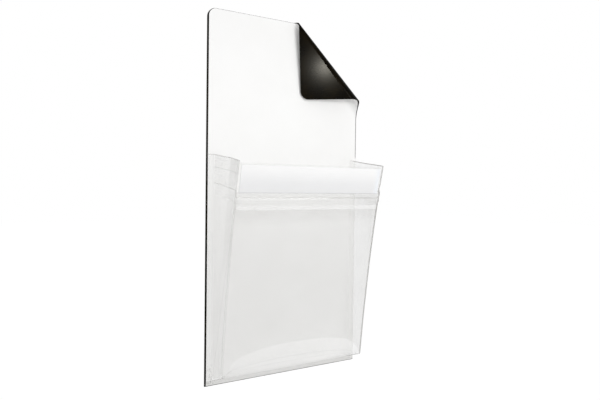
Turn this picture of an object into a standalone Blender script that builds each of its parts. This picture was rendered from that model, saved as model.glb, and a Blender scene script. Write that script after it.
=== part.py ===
"""Magnetic document pocket: a tall sheet of flexible magnet with a white vinyl face, its upper
right corner peeled and turned over, and a clear vinyl pocket with side gussets welded to its
lower part.

Metres. +X is the viewer's right, +Z is up, and the front looks along -Y. The origin is the centre
of the magnet's back face, which lies on the plane y = 0 and sticks to steel."""

import math

import bpy
from mathutils import Matrix, Vector

# Sheet
SHEET_WIDE = 0.2413
SHEET_HIGH = 0.4953
SHEET_CORNER = 0.0120
MAGNET_THICK = 0.0018
FACE_THICK = 0.0003
FACE_INSET = 0.0004

# Turned-over corner: the sheet rolls on a cone whose tip lies beyond the bend's upper end
BEND_ALONG_TOP = 0.113
BEND_ALONG_SIDE = 0.130
BEND_RADIUS_TOP = 0.0024
BEND_CONE_ANGLE = math.radians(3.6)
BEND_TURN = math.radians(195.0)
BEND_HINGES = 6

# Clear film
FILM_THICK = 0.0005
FIT_GAP = 0.0003

# Pocket, with heights above the sheet's lower edge and depths in front of its white face
MOUTH_FRONT_HIGH = 0.2950
MOUTH_BACK_HIGH = 0.3056
MOUTH_DEEP = 0.0784
FOLD_HIGH = 0.0185
FOLD_DEEP = 0.0321
FRONT_BOW = 0.0040
GUSSET_CREASE = 0.0050
CREASE_LENGTH = 0.150

# Soft bend along the front's foot, in the pocket's middle
BEND_START_HIGH = 0.0566
BEND_TIP_HIGH = 0.0350
BEND_TIP_DEEP = 0.0349
BEND_DROP = 0.0160
BEND_DROP_POWER = 2.2
BEND_TIP_DROP = 0.6

# Tight fold at the front's two lower corners, as shares of the half width and of the soft bend
CORNER_SHARE = 0.98
CORNER_POWER = 14
CORNER_ROUND = 0.2

# How far the foot curve's handles reach towards the bend's tip, in the middle and at the corners
FRONT_PULL = (0.73, 0.85)
BOTTOM_PULL = (0.36, 0.80)

# Welds and hems
FLANGE_HIGH = 0.0070
SIDE_FLANGE_WIDE = 0.0097
FLANGE_EDGE = 0.0004
RIM_GAP = 0.00036
HEM_UPPER_WELD = 0.0425
HEM_LOWER_WELD = 0.0520
HEM_TAIL = 0.0050
LIP_HIGH = 0.0040
TUBE_BULGE = 0.0012
SEAM_WIDE = 0.0040
SIDE_HEM_HIGH = 0.0520
SIDE_HEM_STEP = 0.0010

# White header strip
STRIP_THICK = 0.0008
STRIP_END_GAP = 0.0035
STRIP_MARGIN = 0.0006
STRIP_FOOT_GAP = 0.0055

# Fineness of the meshes
ARC_STEPS = 8
COLUMNS = 24
FRONT_ROWS = 12
FOOT_ROWS = 8
GUSSET_COLUMNS = 4
HEM_ROWS = 10
HEM_STEPS = 4
HEADER_COLUMNS = 4

FACE_FRONT = MAGNET_THICK + FIT_GAP + FACE_THICK
SHEET_FOOT = -SHEET_HIGH / 2
FILM_ON_SHEET = FIT_GAP + FILM_THICK / 2
FLANGE_INNER = SHEET_WIDE / 2 - FLANGE_EDGE - SIDE_FLANGE_WIDE
POCKET_HALF_WIDE = FLANGE_INNER - FIT_GAP - FILM_THICK / 2
STRIP_HALF_WIDE = POCKET_HALF_WIDE - STRIP_END_GAP


def clear_scene():
    for item in list(bpy.data.objects):
        bpy.data.objects.remove(item, do_unlink=True)


def make_collection(name):
    collection = bpy.data.collections.new(name)
    bpy.context.scene.collection.children.link(collection)
    return collection


def make_material(name, colour, roughness, alpha=1.0):
    """A plain surface of one colour; alpha below one is a clear film."""
    material = bpy.data.materials.new(name)
    material.use_nodes = True
    shader = material.node_tree.nodes["Principled BSDF"]
    shader.inputs["Base Color"].default_value = (*colour, 1.0)
    shader.inputs["Roughness"].default_value = roughness
    shader.inputs["Metallic"].default_value = 0.0
    shader.inputs["Alpha"].default_value = alpha
    material.diffuse_color = (*colour, alpha)
    return material


def put_in(collection, item, material):
    collection.objects.link(item)
    item.data.materials.append(material)
    return item


def mix(a, b, share):
    return a + (b - a) * share


# Flat outlines of the sheet, as points (x, z)


def sheet_outline(inset):
    """The sheet's outline, set in by a margin: square lower corners and round upper ones."""
    x = SHEET_WIDE / 2 - inset
    z = SHEET_HIGH / 2 - inset
    radius = SHEET_CORNER - inset
    points = [(-x, -z), (x, -z)]
    for centre_x, first in ((x - radius, 0.0), (-x + radius, math.pi / 2)):
        for step in range(ARC_STEPS + 1):
            angle = first + math.pi / 2 * step / ARC_STEPS
            up = radius * math.sin(angle)
            points.append((centre_x + radius * math.cos(angle), z - radius + up))
    return points


def keep_side(points, origin, normal):
    """What is left of a convex outline on the side of a line that the normal points to."""
    kept = []
    for here, there in zip(points, points[1:] + points[:1]):
        a = (here[0] - origin[0]) * normal[0] + (here[1] - origin[1]) * normal[1]
        b = (there[0] - origin[0]) * normal[0] + (there[1] - origin[1]) * normal[1]
        if a >= 0:
            kept.append(here)
        if a * b < 0:
            share = a / (a - b)
            kept.append((mix(here[0], there[0], share), mix(here[1], there[1], share)))
    return kept


def bend_frame():
    """The cone's tip on the flat sheet, the way down along the bend, and the way to the corner."""
    top = Vector((SHEET_WIDE / 2 - BEND_ALONG_TOP, SHEET_HIGH / 2))
    side = Vector((SHEET_WIDE / 2, SHEET_HIGH / 2 - BEND_ALONG_SIDE))
    along = (side - top).normalized()
    across = Vector((-along.y, along.x))
    tip = top - along * BEND_RADIUS_TOP / math.tan(BEND_CONE_ANGLE)
    return tip, along, across


def hinge_line(index):
    """Hinge number index on the flat sheet: the cone's tip, its direction, and the way past it."""
    tip, along, across = bend_frame()
    angle = BEND_TURN * math.sin(BEND_CONE_ANGLE) * (index + 0.5) / BEND_HINGES
    direction = along * math.cos(angle) + across * math.sin(angle)
    onward = across * math.cos(angle) - along * math.sin(angle)
    return tip, direction, onward


def plate_outline(index, inset):
    """The sheet between hinge index - 1 and hinge index; plate 0 is the flat sheet itself."""
    points = sheet_outline(inset)
    if index > 0:
        tip, _, onward = hinge_line(index - 1)
        points = keep_side(points, tip + onward * FIT_GAP / 2, onward)
    if index < BEND_HINGES:
        tip, _, onward = hinge_line(index)
        points = keep_side(points, tip - onward * FIT_GAP / 2, -onward)
    return points


def hinge_turn(index):
    """The turn of one hinge, about its line on the white face, as the sheet lies flat."""
    tip, direction, _ = hinge_line(index)
    axis = Vector((direction.x, 0.0, direction.y))
    there = Matrix.Translation((tip.x, -FACE_FRONT, tip.y))
    return there @ Matrix.Rotation(BEND_TURN / BEND_HINGES, 4, axis) @ there.inverted()


def plate_turn(index):
    """How plate index stands in the rolled corner: every hinge before it has turned."""
    turn = Matrix.Identity(4)
    for hinge in range(index):
        turn = turn @ hinge_turn(hinge)
    return turn


def hinge_place(index):
    """A point on hinge index and its direction, in the rolled corner. The point is on the top edge."""
    tip, direction, _ = hinge_line(index)
    reach = (SHEET_HIGH / 2 - tip.y) / direction.y
    point = Vector((tip.x + direction.x * reach, -FACE_FRONT, tip.y + direction.y * reach))
    turn = plate_turn(index)
    return turn @ point, turn.to_3x3() @ Vector((direction.x, 0.0, direction.y))


def flat_plate(name, points, back, front, collection, material):
    """A flat outline in the sheet's plane, between two depths before the magnet's back face."""
    curve = bpy.data.curves.new(name, "CURVE")
    curve.dimensions = "2D"
    curve.fill_mode = "BOTH"
    curve.extrude = (front - back) / 2
    spline = curve.splines.new("POLY")
    spline.points.add(len(points) - 1)
    for point, (x, z) in zip(spline.points, points):
        point.co = (x, z, 0.0, 1.0)
    spline.use_cyclic_u = True
    plate = bpy.data.objects.new(name, curve)
    plate.location = (0.0, -(back + front) / 2, 0.0)
    plate.rotation_euler = (math.pi / 2, 0.0, 0.0)
    return put_in(collection, plate, material)


def build_sheet(collection, magnet, face):
    """The flat sheet and the plates of its rolled corner, each on the hinge that carries it."""
    names = ["sheet"] + [f"bend_{index}" for index in range(1, BEND_HINGES)] + ["flap"]
    carrier = None
    face_back = FACE_FRONT - FACE_THICK
    for index, name in enumerate(names):
        whole = plate_outline(index, 0.0)
        back = flat_plate(f"magnet_{name}", whole, 0.0, MAGNET_THICK, collection, magnet)
        inner = plate_outline(index, FACE_INSET)
        front = flat_plate(f"face_{name}", inner, face_back, FACE_FRONT, collection, face)
        if index:
            carrier = add_hinge(index - 1, carrier, collection)
            stand_on(carrier, (back, front), plate_turn(index))


def add_hinge(index, parent, collection):
    """An empty on the hinge's line, its X axis along the line, carried by the hinge before it."""
    point, direction = hinge_place(index)
    hinge = bpy.data.objects.new(f"corner_hinge_{index + 1}", None)
    hinge.empty_display_size = 0.01
    collection.objects.link(hinge)
    hinge.rotation_mode = "QUATERNION"
    hinge.location = point
    hinge.rotation_quaternion = direction.to_track_quat("X", "Z")
    bpy.context.view_layer.update()
    if parent:
        hinge.parent = parent
        hinge.matrix_parent_inverse = parent.matrix_world.inverted()
    bpy.context.view_layer.update()
    return hinge


def stand_on(carrier, plates, turn):
    """Turns plates with the hinges before them and parents them to the hinge that carries them."""
    bpy.context.view_layer.update()
    for plate in plates:
        turned = turn @ plate.matrix_world
        plate.parent = carrier
        plate.matrix_parent_inverse = carrier.matrix_world.inverted()
        plate.matrix_basis = turned


# Pocket: its film is placed by depth before the white face and height above the sheet's lower edge


def front_depth(height):
    """Depth of the front film: a straight slope from fold to mouth, bowed in at its middle."""
    share = (height - FOLD_HIGH) / (MOUTH_FRONT_HIGH - FOLD_HIGH)
    return FOLD_DEEP + (MOUTH_DEEP - FOLD_DEEP) * share - 4 * FRONT_BOW * share * (1 - share)


def foot_curve(out):
    """The four points of the curve by which the front turns in to the sheet.

    At a share out of the half width: in the middle it is a long soft bend, and at the corners a
    tight fold."""
    sharp = min(1.0, out / CORNER_SHARE) ** CORNER_POWER
    drop = BEND_DROP * out**BEND_DROP_POWER
    fold_start = mix(FOLD_HIGH, BEND_TIP_HIGH, CORNER_ROUND)
    start_high = mix(BEND_START_HIGH - drop, fold_start, sharp)
    tip_high = mix(BEND_TIP_HIGH - drop * BEND_TIP_DROP, FOLD_HIGH, sharp)
    start = Vector((front_depth(start_high), start_high))
    tip = Vector((mix(BEND_TIP_DEEP, FOLD_DEEP, sharp), tip_high))
    end = Vector((FILM_ON_SHEET, FLANGE_HIGH + FIT_GAP))
    return start, start.lerp(tip, mix(*FRONT_PULL, sharp)), end.lerp(tip, mix(*BOTTOM_PULL, sharp)), end


def on_curve(points, share):
    """A point of a cubic curve through its four points."""
    a, b, c, d = points
    rest = 1 - share
    return a * rest**3 + b * 3 * rest**2 * share + c * 3 * rest * share**2 + d * share**3


def tube_bulge(drop):
    """How far the film stands out between the hem's weld lines, at a drop below the mouth's edge."""
    share = (drop - HEM_UPPER_WELD) / (HEM_LOWER_WELD - HEM_UPPER_WELD)
    return TUBE_BULGE * math.sin(math.pi * share) if 0 < share < 1 else 0.0


def front_drops():
    """Drops below the mouth's edge at which the front film has a row, finer at the hem."""
    tube_middle = (HEM_UPPER_WELD + HEM_LOWER_WELD) / 2
    hem = [0.0, HEM_UPPER_WELD / 2, HEM_UPPER_WELD, tube_middle, HEM_LOWER_WELD]
    rest = MOUTH_FRONT_HIGH - BEND_START_HIGH - HEM_LOWER_WELD
    return hem + [HEM_LOWER_WELD + rest * step / FRONT_ROWS for step in range(1, FRONT_ROWS)]


def front_section(out):
    """Depths and heights down the front film, from its mouth to the lower flange."""
    curve = foot_curve(out)
    full = MOUTH_FRONT_HIGH - BEND_START_HIGH
    section = []
    for drop in front_drops():
        stretch = 1.0
        if drop > HEM_LOWER_WELD:
            span = MOUTH_FRONT_HIGH - curve[0].y - HEM_LOWER_WELD
            stretch = (HEM_LOWER_WELD + span * (drop - HEM_LOWER_WELD) / (full - HEM_LOWER_WELD)) / drop
        height = MOUTH_FRONT_HIGH - drop * stretch
        section.append(Vector((front_depth(height) + tube_bulge(drop), height)))
    section += [on_curve(curve, step / FOOT_ROWS) for step in range(FOOT_ROWS + 1)]
    return section


def place(x, depth, height):
    """World place of a point at a depth before the white face and a height above the lower edge."""
    return (x, -FACE_FRONT - depth, SHEET_FOOT + height)


def film_from_rows(name, rows, thickness, collection, material, offset=0.0):
    """A film through rows of points, each row as long as the next, given its thickness by Solidify."""
    wide = len(rows[0])
    points = [point for row in rows for point in row]
    faces = []
    for down in range(len(rows) - 1):
        for step in range(wide - 1):
            first = down * wide + step
            faces.append((first, first + wide, first + wide + 1, first + 1))
    mesh = bpy.data.meshes.new(name)
    mesh.from_pydata(points, [], faces)
    mesh.validate()
    film = bpy.data.objects.new(name, mesh)
    put_in(collection, film, material)
    wall = film.modifiers.new("film thickness", "SOLIDIFY")
    wall.thickness = thickness
    wall.offset = offset
    wall.use_even_offset = True
    mesh.shade_smooth()
    return film


def across(half_wide, columns=COLUMNS):
    """Places across the pocket, closer together towards its corners."""
    return [half_wide * math.sin(math.pi * (step / columns - 0.5)) for step in range(columns + 1)]


def build_front(collection, film):
    """The front film: mouth, hem tube, flat front, soft foot, and the bottom up to the lower flange."""
    half = POCKET_HALF_WIDE + FILM_THICK / 2
    columns = across(half)
    sections = [front_section(abs(x) / half) for x in columns]
    rows = []
    for down in range(len(sections[0])):
        rows.append([place(x, *section[down]) for x, section in zip(columns, sections)])
    return film_from_rows("front_panel", rows, FILM_THICK, collection, film)


def header_row(drop, behind, half_wide):
    """A row of points behind the front film, at a drop below the mouth's edge."""
    height = MOUTH_FRONT_HIGH - drop
    slope = (MOUTH_DEEP - FOLD_DEEP) / (MOUTH_FRONT_HIGH - FOLD_HIGH)
    deep = front_depth(height) - behind * math.sqrt(1 + slope**2)
    return [place(x, deep, height) for x in across(half_wide, HEADER_COLUMNS)]


def build_header(collection, film, strip_white):
    """The white strip behind the mouth's edge, and the film folded in behind it and welded below it."""
    strip_behind = FILM_THICK / 2 + FIT_GAP + STRIP_THICK / 2
    foot = HEM_UPPER_WELD - STRIP_FOOT_GAP
    rows = []
    for step in range(HEM_ROWS + 1):
        rows.append(header_row(mix(LIP_HIGH, foot, step / HEM_ROWS), strip_behind, STRIP_HALF_WIDE))
    film_from_rows("header_strip", rows, STRIP_THICK, collection, strip_white)

    welded = FILM_THICK + FIT_GAP
    open_behind = strip_behind + STRIP_THICK / 2 + FIT_GAP + FILM_THICK / 2
    tube_middle = (HEM_UPPER_WELD + HEM_LOWER_WELD) / 2
    shape = [(STRIP_MARGIN, welded), (LIP_HIGH / 2, open_behind)]
    for step in range(HEM_STEPS + 1):
        shape.append((mix(LIP_HIGH, HEM_UPPER_WELD, step / HEM_STEPS), open_behind))
    shape.append((tube_middle, open_behind + TUBE_BULGE))
    shape.append((HEM_LOWER_WELD, welded))
    shape.append((HEM_LOWER_WELD + HEM_TAIL, welded))
    half = POCKET_HALF_WIDE - 2 * (FILM_THICK + FIT_GAP) - FIT_GAP
    rows = [header_row(drop, behind, half) for drop, behind in shape]
    film_from_rows("header_hem", rows, FILM_THICK, collection, film)


def gusset_rim():
    """The line where a gusset meets the front and its foot, from the mouth to the lower flange."""
    clear = FILM_THICK / 2 + RIM_GAP
    section = front_section(1.0)
    rim = []
    for before, here, after in zip(section[:1] + section[:-1], section, section[1:] + section[-1:]):
        run_in = (here - before).normalized() if here != before else (after - here).normalized()
        run_out = (after - here).normalized() if after != here else run_in
        run = (run_in + run_out).normalized()
        rim.append(here + Vector((run.y, -run.x)) * clear / run.dot(run_in))
    return rim


def crease_fade(height):
    """The gusset's crease is full at the mouth and fades out below it."""
    share = (MOUTH_BACK_HIGH - height) / CREASE_LENGTH
    return max(0.0, 1 - share) ** 0.5 if share < 1 else 0.0


def gusset_rows(rim, inward, root_top, root_foot):
    """Rows from the gusset's root on the sheet to its rim, bent inward along the crease."""
    rows = []
    for index, edge in enumerate(rim):
        down = (rim[0].y - edge.y) / (rim[0].y - rim[-1].y)
        root = Vector((FILM_ON_SHEET, mix(root_top, root_foot, down)))
        row = []
        for step in range(GUSSET_COLUMNS + 1):
            share = step / GUSSET_COLUMNS
            spot = root.lerp(edge, share)
            crease = GUSSET_CREASE * crease_fade(spot.y) * (1 - abs(2 * share - 1))
            row.append(place(POCKET_HALF_WIDE - inward - crease, spot.x, spot.y))
        rows.append(row)
    return rows


def mirrored(rows):
    """The same rows on the other side, turned so that the film's faces still point out."""
    return [[(-x, y, z) for x, y, z in row] for row in rows]


def build_gussets(collection, film):
    """The two side walls, and the hem folded in at the top of each."""
    rim = gusset_rim()
    root_foot = FLANGE_HIGH + FIT_GAP + FILM_THICK / 2 + RIM_GAP
    walls = gusset_rows(rim, 0.0, MOUTH_BACK_HIGH, root_foot)
    inside = FILM_THICK + FIT_GAP
    hem_rim = []
    for step in range(HEM_ROWS // 2 + 1):
        drop = mix(SIDE_HEM_STEP, SIDE_HEM_HIGH, step / (HEM_ROWS // 2))
        height = MOUTH_FRONT_HIGH - drop
        hem_rim.append(Vector((front_depth(height) - FILM_THICK - FIT_GAP * 2, height)))
    hem_top = MOUTH_BACK_HIGH - SIDE_HEM_STEP
    hems = gusset_rows(hem_rim, inside, hem_top, hem_top - (SIDE_HEM_HIGH - SIDE_HEM_STEP))
    for side, turn in (("right", list), ("left", mirrored)):
        film_from_rows(f"gusset_{side}", turn(walls), FILM_THICK, collection, film)
        film_from_rows(f"gusset_hem_{side}", turn(hems), FILM_THICK, collection, film)


def build_seams(collection, film):
    """The weld margin that laps each front corner outside the gusset, from the mouth to the fold."""
    out = POCKET_HALF_WIDE + FILM_THICK + FIT_GAP
    top = MOUTH_FRONT_HIGH - SIDE_HEM_STEP
    rows = []
    for step in range(FRONT_ROWS + 1):
        height = mix(top, FOLD_HIGH + SEAM_WIDE, step / FRONT_ROWS)
        deep = front_depth(height) + FILM_THICK / 2
        rows.append([place(out, deep - SEAM_WIDE, height), place(out, deep, height)])
    for side, turn in (("right", list), ("left", mirrored)):
        film_from_rows(f"corner_seam_{side}", turn(rows), FILM_THICK, collection, film)


def build_flanges(collection, film):
    """The pocket's margins that are welded flat on the sheet, at its two sides and its foot."""
    outer = SHEET_WIDE / 2 - FLANGE_EDGE
    back = FACE_FRONT + FIT_GAP
    low = SHEET_FOOT + FLANGE_HIGH + FIT_GAP
    high = SHEET_FOOT + MOUTH_BACK_HIGH
    for side, sign in (("right", 1), ("left", -1)):
        near, far = sign * FLANGE_INNER, sign * outer
        points = [(near, low), (far, low), (far, high), (near, high)]
        flat_plate(f"side_flange_{side}", points[::sign], back, back + FILM_THICK, collection, film)
    foot = SHEET_FOOT + FLANGE_EDGE
    top = SHEET_FOOT + FLANGE_HIGH - FIT_GAP
    points = [(-outer, foot), (outer, foot), (outer, top), (-outer, top)]
    flat_plate("bottom_flange", points, back, back + FILM_THICK, collection, film)


clear_scene()
pocket = make_collection("magnetic_document_pocket")
magnet_black = make_material("ferrite rubber", (0.022, 0.016, 0.011), 0.45)
vinyl_white = make_material("white vinyl", (0.93, 0.93, 0.92), 0.35)
vinyl_clear = make_material("clear vinyl", (0.93, 0.93, 0.93), 0.08, 0.25)
board_white = make_material("white strip", (0.96, 0.96, 0.97), 0.30)
build_sheet(pocket, magnet_black, vinyl_white)
build_flanges(pocket, vinyl_clear)
build_front(pocket, vinyl_clear)
build_header(pocket, vinyl_clear, board_white)
build_gussets(pocket, vinyl_clear)
build_seams(pocket, vinyl_clear)
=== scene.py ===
import math

import bpy
import numpy as np
from mathutils import Matrix, Vector


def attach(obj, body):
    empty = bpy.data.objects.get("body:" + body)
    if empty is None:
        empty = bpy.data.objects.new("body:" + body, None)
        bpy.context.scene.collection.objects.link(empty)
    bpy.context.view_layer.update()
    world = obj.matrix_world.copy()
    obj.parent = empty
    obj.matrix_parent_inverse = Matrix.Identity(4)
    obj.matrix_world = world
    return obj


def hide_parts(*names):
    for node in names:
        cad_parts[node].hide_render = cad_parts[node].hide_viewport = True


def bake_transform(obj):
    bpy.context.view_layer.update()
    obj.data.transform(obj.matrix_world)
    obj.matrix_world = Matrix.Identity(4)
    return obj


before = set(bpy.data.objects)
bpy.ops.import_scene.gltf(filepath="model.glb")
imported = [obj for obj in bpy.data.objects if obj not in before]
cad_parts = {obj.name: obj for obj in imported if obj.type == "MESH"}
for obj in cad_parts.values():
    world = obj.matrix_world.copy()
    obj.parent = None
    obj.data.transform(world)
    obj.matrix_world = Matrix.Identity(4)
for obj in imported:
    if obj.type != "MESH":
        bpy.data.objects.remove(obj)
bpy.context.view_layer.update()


# Camera. It stands 0.68 m in front of the hung sheet and 0.39 m left of its middle, a little
# below the pocket's mouth, and looks to the right across it.
EYE = np.array((-0.3891, -0.6765, 0.0173))
YAW, PITCH, ROLL = np.radians((31.4, -1.43, 0.74))
LENS, SENSOR_WIDE = 33.0, 36.0
NEAREST = 0.01

look = np.array((math.sin(YAW) * math.cos(PITCH), math.cos(YAW) * math.cos(PITCH), math.sin(PITCH)))
level = np.array((math.cos(YAW), -math.sin(YAW), 0.0))
upright = np.cross(level, look)
right = math.cos(ROLL) * level + math.sin(ROLL) * upright
up = -math.sin(ROLL) * level + math.cos(ROLL) * upright

camera = bpy.data.objects.new("camera", bpy.data.cameras.new("camera"))
camera.data.lens = LENS
camera.data.sensor_width = SENSOR_WIDE
camera.data.clip_start = NEAREST
bpy.context.scene.collection.objects.link(camera)
axes = np.column_stack([right, up, -look, EYE])
camera.matrix_world = Matrix([*axes.tolist(), [0.0, 0.0, 0.0, 1.0]])
bpy.context.scene.camera = camera


# Flat sheet. A 1.8 mm sheet of flexible ferrite rubber, near black, with a 0.3 mm white vinyl
# film laminated on its front, which ends a little inside the rubber's edge. Both are cut with
# square lower corners and round upper ones. Beside the pocket the film reaches the right edge.
HALF_WIDE = 0.2413 / 2
HALF_HIGH = 0.4953 / 2
CORNER_RADIUS = 0.0120
FACE_FRONT, FACE_BACK = 0.0024, 0.0021
LAMINATE_GAP = 0.00002
RUBBER_FRONT = FACE_BACK - LAMINATE_GAP
RUBBER_EDGE = dict(left=0.0, right=0.0, top=0.0, foot=0.0)
FILM_EDGE = dict(left=0.0020, right=0.0011, top=0.0004, foot=0.0008)
POCKET_TOP = 0.0580

# The roll of the upper right corner is a cone; its first line crosses the sheet from the top edge
# to the right edge, and the cone's tip lies on that line a little above the sheet
ROLL_ALONG_TOP, ROLL_DOWN_SIDE = 0.113, 0.130
ROLL_TOP = np.array((HALF_WIDE - ROLL_ALONG_TOP, HALF_HIGH))
ROLL_SIDE = np.array((HALF_WIDE, HALF_HIGH - ROLL_DOWN_SIDE))
ROLL_ANGLE = math.radians(3.6)
ROLL_RADIUS_TOP = 0.0024
along_roll = (ROLL_SIDE - ROLL_TOP) / np.linalg.norm(ROLL_SIDE - ROLL_TOP)
across_roll = np.array((-along_roll[1], along_roll[0]))
roll_tip = ROLL_TOP - along_roll * ROLL_RADIUS_TOP / math.tan(ROLL_ANGLE)


class Wire:
    """An output of a material's node. Sums, differences, products and powers of wires and
    numbers add Math nodes."""

    def __init__(self, tree, socket):
        self.tree = tree
        self.socket = socket

    def node(self, kind, settings=None, sockets=None, output=0):
        """Adds a node: its settings first, then the values or wires of its sockets."""
        node = self.tree.nodes.new(kind)
        for name, value in (settings or {}).items():
            setattr(node, name, value)
        for name, value in (sockets or {}).items():
            if isinstance(value, Wire):
                self.tree.links.new(value.socket, node.inputs[name])
            else:
                node.inputs[name].default_value = value
        return Wire(self.tree, node.outputs[output]) if node.outputs else None

    def maths(self, operation, first, second):
        """A Math node's result from two wires or numbers."""
        return self.node("ShaderNodeMath", {"operation": operation}, {0: first, 1: second})

    def __add__(self, other):
        return self.maths("ADD", self, other)

    def __radd__(self, other):
        return self.maths("ADD", other, self)

    def __sub__(self, other):
        return self.maths("SUBTRACT", self, other)

    def __rsub__(self, other):
        return self.maths("SUBTRACT", other, self)

    def __mul__(self, other):
        return self.maths("MULTIPLY", self, other)

    def __rmul__(self, other):
        return self.maths("MULTIPLY", other, self)

    def __pow__(self, other):
        return self.maths("POWER", self, other)

    def size(self):
        """This wire's value without its sign."""
        return self.maths("ABSOLUTE", self, 0.0)

    def most(self, other):
        """The larger of this wire and another."""
        return self.maths("MAXIMUM", self, other)

    def rise(self, start, end):
        """0 before start and 1 after end, with a smooth step between them."""
        return self.node("ShaderNodeMapRange", {"interpolation_type": "SMOOTHSTEP"},
                         {"Value": self, "From Min": start, "From Max": end})

    def band(self, centre, half, soft):
        """1 within half a width of centre, and 0 beyond a soft edge."""
        away = (self - centre).size()
        return 1 - away.rise(half, half + soft)

    def mixed(self, first, second):
        """A colour between two others, by this wire's value."""
        both = [c if isinstance(c, Wire) else (*c, 1.0) for c in (first, second)]
        return self.node("ShaderNodeMix", {"data_type": "RGBA"},
                         {"Factor": self, 6: both[0], 7: both[1]}, output=2)

    def noise(self, scale, detail=2.0, roughness=0.5, stretch=None):
        """Noise of about 0 to 1 on this wire's vector, in metres; stretch scales each axis."""
        place = self
        if stretch:
            place = self.node("ShaderNodeMapping", {}, {"Vector": self, "Scale": stretch})
        return self.node("ShaderNodeTexNoise", {"noise_dimensions": "3D"},
                         {"Vector": place, "Scale": scale, "Detail": detail, "Roughness": roughness})

    def relief(self, depth):
        """A normal from this wire taken as height, depth metres for a height of one."""
        return self.node("ShaderNodeBump", {}, {"Height": self, "Distance": depth, "Strength": 1.0})


def new_finish(name):
    """An empty material, and the wire of its pieces' flat map, in metres on the flat sheet."""
    material = bpy.data.materials.new(name)
    material.use_nodes = True
    material.node_tree.nodes.clear()
    start = Wire(material.node_tree, None)
    return material, start.node("ShaderNodeUVMap", {"uv_map": "flat"})


def surface(flat, values):
    """The shader of a material, from the values or wires of its sockets, and its output."""
    shader = flat.node("ShaderNodeBsdfPrincipled", {}, values)
    flat.node("ShaderNodeOutputMaterial", {}, {"Surface": shader})


def rubber_finish():
    """Near-black warm brown ferrite rubber: calendered, so faintly streaked up the sheet, with a
    fine grain and a few duller clouds."""
    black, dull, streak = (0.0008, 0.0003, 0.0), (0.0048, 0.0028, 0.0005), (0.0110, 0.0076, 0.0024)
    material, flat = new_finish("ferrite rubber")
    clouds = flat.noise(38.0, 3.0)
    streaks = flat.noise(1.0, 3.0, stretch=(900.0, 60.0, 1.0))
    grain = flat.noise(2600.0, 2.0, 0.6)
    tone = clouds.rise(0.35, 0.68).mixed(black, dull)
    tone = (streaks.rise(0.48, 0.72) * 0.45).mixed(tone, streak)
    surface(flat, {
        "Base Color": tone,
        "Roughness": 0.122 + clouds * 0.012 + grain * 0.008,
        "Specular IOR Level": 0.030,
        "Specular Tint": (1.0, 0.96, 0.84, 1.0),
        "Normal": (grain * 0.6 + streaks * 0.4).relief(0.0000022),
    })
    return material


def white_finish():
    """White vinyl film: satin, very slightly warm, with a faint mottle and an orange-peel skin."""
    darker, lighter = (0.918, 0.916, 0.906), (0.940, 0.939, 0.932)
    material, flat = new_finish("white vinyl")
    mottle = flat.noise(14.0, 3.0)
    peel = flat.noise(520.0, 2.0)
    surface(flat, {
        "Base Color": mottle.rise(0.25, 0.75).mixed(darker, lighter),
        "Roughness": 0.34 + peel * 0.10,
        "Specular IOR Level": 0.30,
        "Normal": peel.relief(0.000020),
    })
    return material


SHARP_EDGE = math.radians(40)


def grid_faces(down, across):
    """Four-cornered faces of a grid with so many points down and across."""
    index = np.arange(down * across).reshape(down, across)
    corners = [index[:-1, :-1], index[1:, :-1], index[1:, 1:], index[:-1, 1:]]
    return np.stack(corners, -1).reshape(-1, 4)


def make_shell(name, front, back, flat, faces=None, shading=None, marks=None):
    """A closed thin piece between two skins with the same faces, joined by a rim.

    front and back are (down, across, 3) grids, or (n, 3) points with their faces. flat holds each
    point's place on the flat sheet and becomes the map "flat". shading gives the front skin's
    normals where neighbouring pieces must shade as one, and marks adds named values on points."""
    if faces is None:
        faces = grid_faces(*front.shape[:2])
    front, back, flat = front.reshape(-1, 3), back.reshape(-1, 3), flat.reshape(-1, 2)
    count = len(front)
    edges = np.stack([faces, np.roll(faces, -1, axis=1)], -1).reshape(-1, 2)
    key = edges.min(1).astype(np.int64) * count + edges.max(1)
    _, first, uses = np.unique(key, return_index=True, return_counts=True)
    border = edges[first[uses == 1]]
    rim = np.column_stack([border[:, 1], border[:, 0], border[:, 0] + count, border[:, 1] + count])
    points = np.concatenate([front, back])
    skins = [faces, faces[:, ::-1] + count]

    # The triangles' triple products add up to six times the volume, below 0 if they face inwards
    corners = points[np.concatenate([s[:, :3] for s in (*skins, rim)])]
    extra = [points[s[:, [0, 2, 3]]] for s in (*skins, rim) if s.shape[1] == 4]
    corners = np.concatenate([corners, *extra])
    volume = np.einsum("ij,ij->", corners[:, 0], np.cross(corners[:, 1], corners[:, 2]))
    if volume < 0:
        skins = [s[:, ::-1] for s in skins]
        rim = rim[:, ::-1]

    mesh = bpy.data.meshes.new(name)
    parts = [*skins, rim]
    mesh.from_pydata(points.tolist(), [], [face for part in parts for face in part.tolist()])
    loops = np.concatenate([part.reshape(-1) for part in parts])
    uv = mesh.uv_layers.new(name="flat")
    uv.data.foreach_set("uv", flat[loops % count].astype(np.float32).reshape(-1))
    for mark, values in (marks or {}).items():
        layer = mesh.attributes.new(mark, "FLOAT", "POINT")
        layer.data.foreach_set("value", np.tile(values.reshape(-1), 2).astype(np.float32))
    mesh.shade_smooth()
    mesh.set_sharp_from_angle(angle=SHARP_EDGE)
    if shading is not None:
        way = shading.reshape(-1, 3)
        normals = np.zeros((len(loops), 3))
        on_front = slice(0, skins[0].size)
        on_back = slice(skins[0].size, skins[0].size + skins[1].size)
        normals[on_front] = way[loops[on_front]]
        normals[on_back] = -way[loops[on_back] - count]
        mesh.normals_split_custom_set(normals.tolist())
    piece = bpy.data.objects.new(name, mesh)
    bpy.context.scene.collection.objects.link(piece)
    return piece


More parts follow.
